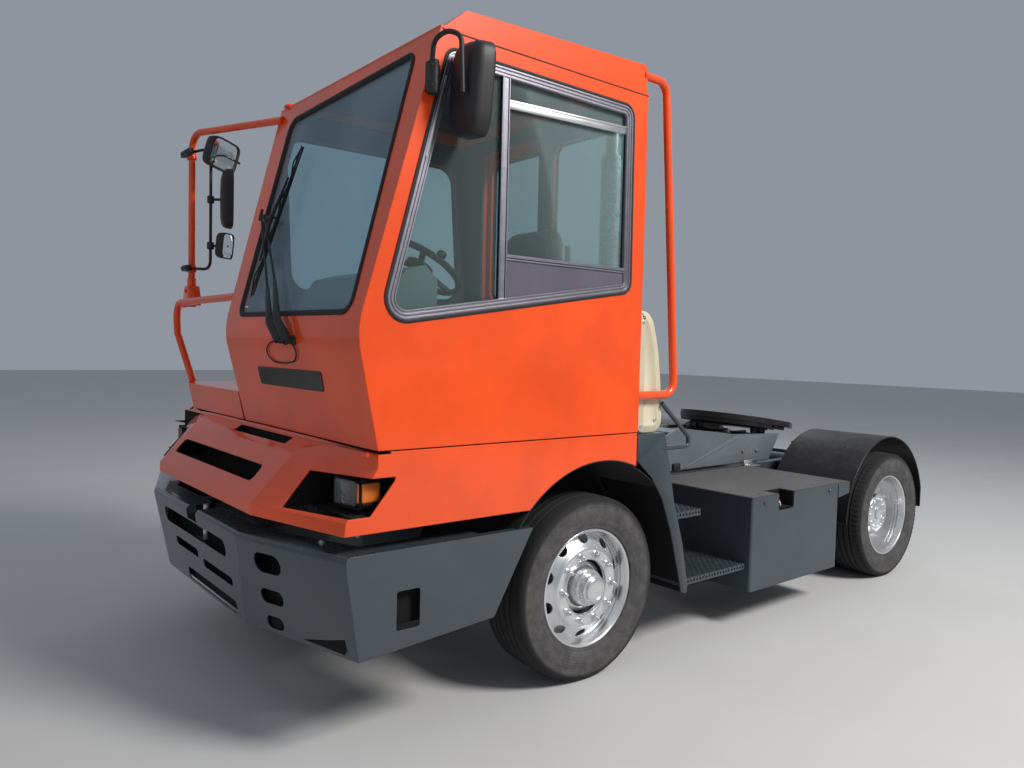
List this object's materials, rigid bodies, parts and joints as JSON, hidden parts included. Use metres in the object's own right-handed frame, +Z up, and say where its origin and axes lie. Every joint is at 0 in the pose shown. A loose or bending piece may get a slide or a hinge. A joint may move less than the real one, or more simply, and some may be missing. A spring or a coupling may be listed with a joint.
{
  "type": "terminal tractor",
  "caption": "Yard tractor with an offset one-man cab that tilts, a sliding rear door, a lifting fifth wheel, steered front wheels and twin rear wheels.",
  "frame": {"origin": "on the ground, in the middle of the tractor's length and of its width over the left mirror", "axes": "-Y to the front, +X to the tractor's left, +Z up"},
  "size_m": [2.7, 5.2828, 3.0667],
  "materials": {
    "orange_paint": "gloss",
    "dark_paint": "satin",
    "black_paint": "satin",
    "grey_metal": "satin",
    "cast_metal": "rough",
    "bright_rod": "polished",
    "silver_rim": "satin",
    "tyre": "matt",
    "black_plastic": "matt",
    "console_plastic": "matt",
    "seat_fabric": "woven",
    "cream_plastic": "satin",
    "window_alu": "anodised",
    "glass": "polished",
    "lamp_lens": "polished",
    "red_lens": "polished",
    "stainless": "brushed",
    "floor_mat": "matt"
  },
  "bodies": {
    "chassis": {"chassis_frame": "dark_paint", "front_bumper": "dark_paint", "front_beam": "dark_paint", "tow_pin": "stainless", "lower_body": "orange_paint", "headlamps": "lamp_lens", "arch_liners": "black_plastic", "left_steps": "dark_paint", "left_box": "dark_paint", "right_box": "dark_paint", "rear_mudguards": "black_plastic", "front_axle": "cast_metal", "front_springs": "black_paint", "rear_axle": "cast_metal", "engine": "cast_metal", "driveline": "cast_metal", "exhaust_stack": "stainless", "tail_lamps": "red_lens", "side_panel": "cream_plastic", "grab_loop": "grey_metal"},
    "cab": {"cab_shell": "orange_paint", "right_deck": "orange_paint", "cab_roof": "orange_paint", "cab_rear_wall": "orange_paint", "windscreen": "glass", "cab_glass": "glass", "left_window_frame": "window_alu", "cab_floor": "floor_mat", "dashboard": "console_plastic", "steering_wheel": "black_plastic", "driver_seat": "seat_fabric", "mirror_rail": "orange_paint", "right_mirrors": "black_plastic", "left_mirror": "black_plastic", "handrails": "orange_paint", "wiper": "black_plastic"},
    "rear_door": {"rear_door": "orange_paint", "rear_door_glass": "glass"},
    "knuckle_left": {"knuckle_left": "cast_metal"},
    "knuckle_right": {"knuckle_right": "cast_metal"},
    "track_rod": {"track_rod": "cast_metal"},
    "front_wheel_left": {"front_tyre_left": "tyre", "front_rim_left": "silver_rim"},
    "front_wheel_right": {"front_tyre_right": "tyre", "front_rim_right": "silver_rim"},
    "rear_wheels_left": {"rear_tyres_left": "tyre", "rear_rims_left": "silver_rim"},
    "rear_wheels_right": {"rear_tyres_right": "tyre", "rear_rims_right": "silver_rim"},
    "lift_boom": {"lift_boom": "grey_metal"},
    "fifth_wheel": {"fifth_wheel": "black_paint"},
    "lift_barrels": {"lift_barrels": "black_paint"},
    "lift_rods": {"lift_rods": "bright_rod"}
  },
  "joints": [
    {"name": "cab_tilt", "type": "hinge", "parent": "chassis", "child": "cab", "pos_m": [-0.1, -2.29045, 1.256], "axis": [1, 0, 0], "range_deg": [0, 55]},
    {"name": "door_slide", "type": "slide", "parent": "cab", "child": "rear_door", "axis": [1, 0, 0], "range_m": [0, 0.56]},
    {"name": "steer_left", "type": "hinge", "parent": "chassis", "child": "knuckle_left", "pos_m": [0.75, -1.06845, 0.463], "axis": [0, 0, 1], "range_deg": [-40, 40]},
    {"name": "steer_right", "type": "hinge", "parent": "chassis", "child": "knuckle_right", "pos_m": [-0.95, -1.06845, 0.463], "axis": [0, 0, 1], "range_deg": [-40, 40]},
    {"name": "track_rod_swing", "type": "hinge", "parent": "knuckle_left", "child": "track_rod", "pos_m": [0.75, -0.85845, 0.365], "axis": [0, 0, 1], "range_deg": [-40, 40]},
    {"name": "front_left_spin", "type": "hinge", "parent": "knuckle_left", "child": "front_wheel_left", "pos_m": [0.954, -1.06845, 0.463], "axis": [1, 0, 0], "continuous": true},
    {"name": "front_right_spin", "type": "hinge", "parent": "knuckle_right", "child": "front_wheel_right", "pos_m": [-1.154, -1.06845, 0.463], "axis": [1, 0, 0], "continuous": true},
    {"name": "rear_left_spin", "type": "hinge", "parent": "chassis", "child": "rear_wheels_left", "pos_m": [0.791, 2.07155, 0.463], "axis": [1, 0, 0], "continuous": true},
    {"name": "rear_right_spin", "type": "hinge", "parent": "chassis", "child": "rear_wheels_right", "pos_m": [-0.991, 2.07155, 0.463], "axis": [1, 0, 0], "continuous": true},
    {"name": "boom_lift", "type": "hinge", "parent": "chassis", "child": "lift_boom", "pos_m": [-0.1, 0.29155, 0.93], "axis": [1, 0, 0], "range_deg": [0, 18]},
    {"name": "fifth_tilt", "type": "hinge", "parent": "lift_boom", "child": "fifth_wheel", "pos_m": [-0.1, 1.67155, 1.04], "axis": [1, 0, 0], "range_deg": [0, 12]},
    {"name": "barrel_swing", "type": "hinge", "parent": "chassis", "child": "lift_barrels", "pos_m": [-0.1, 0.73155, 0.62], "axis": [1, 0, 0], "range_deg": [0, 22.06]},
    {"name": "rod_slide", "type": "slide", "parent": "lift_barrels", "child": "lift_rods", "axis": [0, 0.8491, 0.5283], "range_m": [0, 0.164]}
  ],
  "couplings": [
    {"joint": "steer_right", "follows": "steer_left", "ratio": 1},
    {"joint": "track_rod_swing", "follows": "steer_left", "ratio": -1},
    {"joint": "barrel_swing", "follows": "boom_lift", "ratio": 1.2145},
    {"joint": "rod_slide", "follows": "boom_lift", "m_per_rad": 0.51877}
  ]
}
